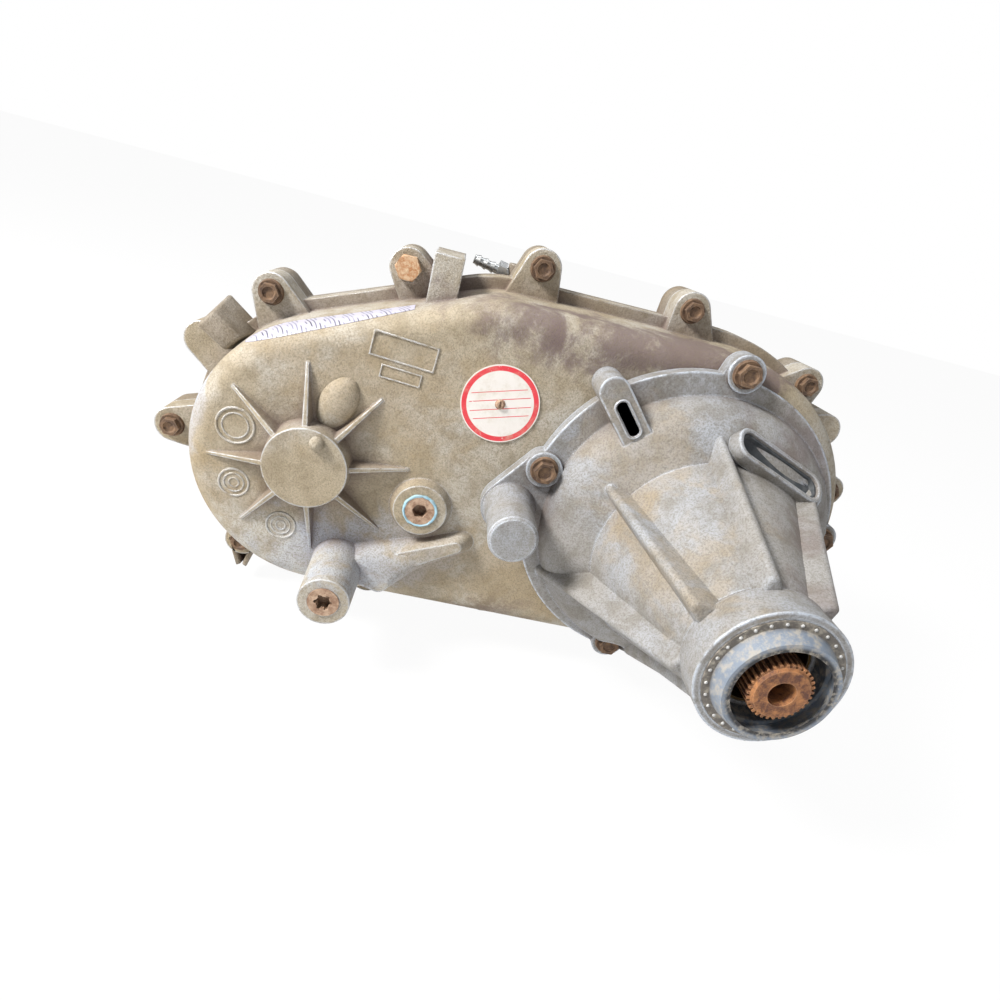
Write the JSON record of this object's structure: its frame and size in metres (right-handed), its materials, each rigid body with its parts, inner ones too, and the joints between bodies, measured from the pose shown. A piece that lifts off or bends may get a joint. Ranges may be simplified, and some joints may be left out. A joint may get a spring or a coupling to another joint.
{
  "type": "transfer case",
  "caption": "Two-speed chain-drive transfer case: split aluminium case, extension housing, planetary range set, chain to a front output, shift lever and oil pump.",
  "frame": {"origin": "centre of the front mounting face, on the main shaft axis", "axes": "+Y to the front of the vehicle along the main shaft; +X away from the front output, along the line through both shaft axes; +Z square to both, on the side of the breather"},
  "size_m": [0.51, 0.362, 0.2905],
  "materials": {
    "cast_aluminium": "cast, dull",
    "bolt_steel": "weathered",
    "gear_steel": "machined",
    "bearing_steel": "ground",
    "chain_steel": "oiled",
    "yoke_steel": "weathered",
    "plated_steel": "zinc plated",
    "bushing_bronze": "satin",
    "seal_rubber": "dusty",
    "tag_plate": "printed",
    "label_film": "satin"
  },
  "bodies": {
    "case": {"adapter_studs": "bolt_steel", "annulus_gear": "gear_steel", "bearing_retainer": "cast_aluminium", "breather_fitting": "plated_steel", "case_bolts": "bolt_steel", "detent_plug": "bolt_steel", "detent_spring": "bolt_steel", "dowel_pins": "bolt_steel", "drain_plug": "bolt_steel", "drive_chain": "chain_steel", "extension_bolts": "bolt_steel", "extension_housing": "cast_aluminium", "fill_plug": "bolt_steel", "front_case": "cast_aluminium", "front_output_bearing": "bearing_steel", "front_output_seal": "seal_rubber", "hex_bolt": "bolt_steel", "id_tag": "tag_plate", "input_bearing": "bearing_steel", "input_seal": "seal_rubber", "needle_bearing": "bearing_steel", "oil_screen": "plated_steel", "output_bushing": "bushing_bronze", "output_seal": "seal_rubber", "pickup_tube": "plated_steel", "pump_housing": "cast_aluminium", "rear_bearing": "bearing_steel", "rear_case": "cast_aluminium", "retainer_bolts": "bolt_steel", "slot_plug": "seal_rubber", "strip_label": "label_film", "tag_screw": "bolt_steel"},
    "main_shaft": {"mainshaft": "gear_steel", "shaft_rings": "gear_steel", "mode_hub": "gear_steel", "drive_sprocket": "gear_steel", "pump_inner_rotor": "gear_steel"},
    "mode_sleeve": {"mode_sleeve": "gear_steel"},
    "range_sleeve": {"range_sleeve": "gear_steel"},
    "input_shaft": {"input_gear": "gear_steel", "pilot_bearing": "bearing_steel"},
    "carrier": {"planet_carrier": "gear_steel", "planet_pins": "gear_steel"},
    "planet_1": {"planet_gear_1": "gear_steel"},
    "planet_2": {"planet_gear_2": "gear_steel"},
    "planet_3": {"planet_gear_3": "gear_steel"},
    "planet_4": {"planet_gear_4": "gear_steel"},
    "front_output": {"front_output_shaft": "gear_steel", "driven_sprocket": "gear_steel", "front_yoke": "yoke_steel", "yoke_nut": "bolt_steel"},
    "pump_ring": {"pump_outer_rotor": "gear_steel"},
    "rail": {"shift_rail": "gear_steel", "mode_fork": "cast_aluminium"},
    "range_fork": {"range_fork": "cast_aluminium"},
    "shift_shaft": {"shift_sector": "gear_steel", "shift_lever": "yoke_steel", "lever_nut": "bolt_steel"},
    "detent": {"detent_plunger": "bolt_steel"}
  },
  "joints": [
    {"name": "mainshaft_turn", "type": "hinge", "parent": "case", "child": "main_shaft", "pos_m": [0, 0, 0], "axis": [0, 1, 0], "continuous": true, "deforming": ["drive_chain"]},
    {"name": "input_turn", "type": "hinge", "parent": "case", "child": "input_shaft", "pos_m": [0, 0, 0], "axis": [0, 1, 0], "continuous": true},
    {"name": "carrier_turn", "type": "hinge", "parent": "case", "child": "carrier", "pos_m": [0, 0, 0], "axis": [0, 1, 0], "continuous": true},
    {"name": "planet_1_turn", "type": "hinge", "parent": "carrier", "child": "planet_1", "pos_m": [0.0495, 0, 0], "axis": [0, 1, 0], "continuous": true},
    {"name": "planet_2_turn", "type": "hinge", "parent": "carrier", "child": "planet_2", "pos_m": [0, 0, 0.0495], "axis": [0, 1, 0], "continuous": true},
    {"name": "planet_3_turn", "type": "hinge", "parent": "carrier", "child": "planet_3", "pos_m": [-0.0495, 0, 0], "axis": [0, 1, 0], "continuous": true},
    {"name": "planet_4_turn", "type": "hinge", "parent": "carrier", "child": "planet_4", "pos_m": [0, 0, -0.0495], "axis": [0, 1, 0], "continuous": true},
    {"name": "front_output_turn", "type": "hinge", "parent": "case", "child": "front_output", "pos_m": [-0.26194, 0, 0], "axis": [0, 1, 0], "continuous": true},
    {"name": "pump_ring_turn", "type": "hinge", "parent": "case", "child": "pump_ring", "pos_m": [0.003, 0, 0], "axis": [0, 1, 0], "continuous": true},
    {"name": "lever_swing", "type": "hinge", "parent": "case", "child": "shift_shaft", "pos_m": [-0.15, -0.088, 0], "axis": [0, 0, -1], "range_deg": [0, 30]},
    {"name": "range_fork_slide", "type": "slide", "parent": "case", "child": "range_fork", "axis": [0, -1, 0], "range_m": [0, 0.0141]},
    {"name": "range_sleeve_slide", "type": "slide", "parent": "main_shaft", "child": "range_sleeve", "axis": [0, -1, 0], "range_m": [0, 0.0141]},
    {"name": "rail_slide", "type": "slide", "parent": "case", "child": "rail", "axis": [0, -1, 0], "range_m": [0, 0.006]},
    {"name": "mode_sleeve_slide", "type": "slide", "parent": "main_shaft", "child": "mode_sleeve", "axis": [0, -1, 0], "range_m": [0, 0.006]},
    {"name": "detent_slide", "type": "slide", "parent": "case", "child": "detent", "axis": [0, -1, 0], "range_m": [0, 0.0013]}
  ],
  "couplings": [
    {"joint": "input_turn", "follows": "mainshaft_turn", "ratio": 1},
    {"joint": "carrier_turn", "follows": "mainshaft_turn", "ratio": 0.36364},
    {"joint": "planet_1_turn", "follows": "mainshaft_turn", "ratio": -1.697},
    {"joint": "planet_2_turn", "follows": "mainshaft_turn", "ratio": -1.697},
    {"joint": "planet_3_turn", "follows": "mainshaft_turn", "ratio": -1.697},
    {"joint": "planet_4_turn", "follows": "mainshaft_turn", "ratio": -1.697},
    {"joint": "front_output_turn", "follows": "mainshaft_turn", "ratio": 1},
    {"joint": "pump_ring_turn", "follows": "mainshaft_turn", "ratio": 0.85714},
    {"joint": "range_fork_slide", "follows": "lever_swing", "m_per_rad": 0.026738},
    {"joint": "range_sleeve_slide", "follows": "lever_swing", "m_per_rad": 0.026738},
    {"joint": "mode_sleeve_slide", "follows": "rail_slide", "ratio": 1}
  ]
}
